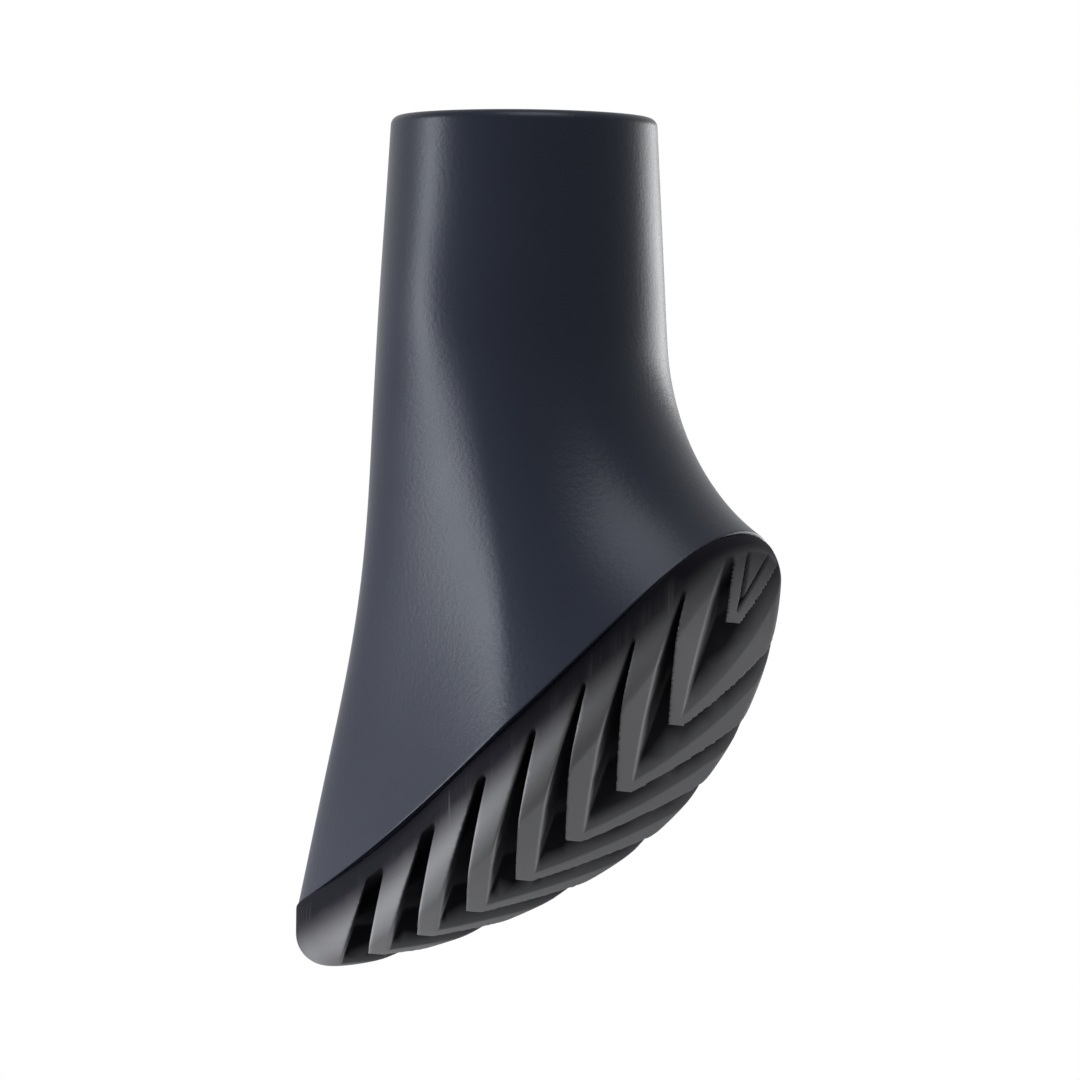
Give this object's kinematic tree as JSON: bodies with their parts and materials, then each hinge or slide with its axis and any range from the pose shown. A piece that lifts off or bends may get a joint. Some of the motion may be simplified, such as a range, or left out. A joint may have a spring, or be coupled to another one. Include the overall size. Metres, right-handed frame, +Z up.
{
  "type": "trekking pole tip",
  "caption": "Rubber boot for the tip of a walking pole: a round collar that flares to a slanted, curved sole with a chevron tread.",
  "frame": {"origin": "centre of the mouth, in the plane of the collar's rim", "axes": "+Z up the pole's axis, +X toward the heel of the sole, so the toe points to -X"},
  "size_m": [0.0318, 0.0252, 0.0543],
  "materials": {
    "boot_rubber": "satin moulded rubber, bluish dark grey"
  },
  "bodies": {
    "root": {"rubber_boot": "boot_rubber"}
  },
  "joints": []
}
